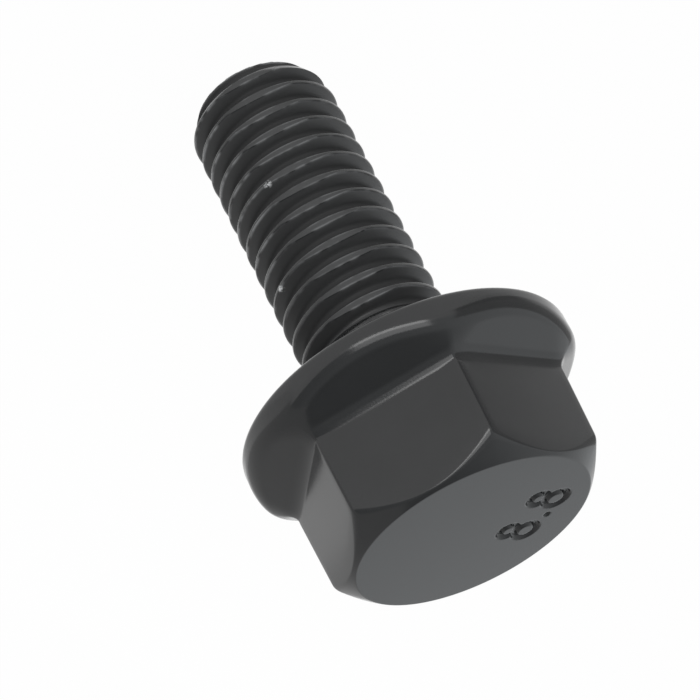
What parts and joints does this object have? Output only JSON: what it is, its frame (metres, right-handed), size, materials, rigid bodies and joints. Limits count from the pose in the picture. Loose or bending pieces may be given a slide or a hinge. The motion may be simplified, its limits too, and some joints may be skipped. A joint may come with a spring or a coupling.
{
  "type": "hex flange bolt",
  "caption": "Hexagon flange bolt in black-oxide steel: right-hand metric thread with a coned tip, plain neck, and a hexagon head that flares into a wide flange, to clamp a blade or plate.",
  "frame": {"origin": "on the bolt's axis, at the flat end of the thread that it stands on", "axes": "+Z along the bolt's axis from the tip of the thread to the head, +X through one corner of the hexagon"},
  "size_m": [0.0173, 0.0172, 0.0279],
  "materials": {
    "black_steel": "satin black oxide on steel"
  },
  "bodies": {
    "root": {"bolt": "black_steel"}
  },
  "joints": []
}
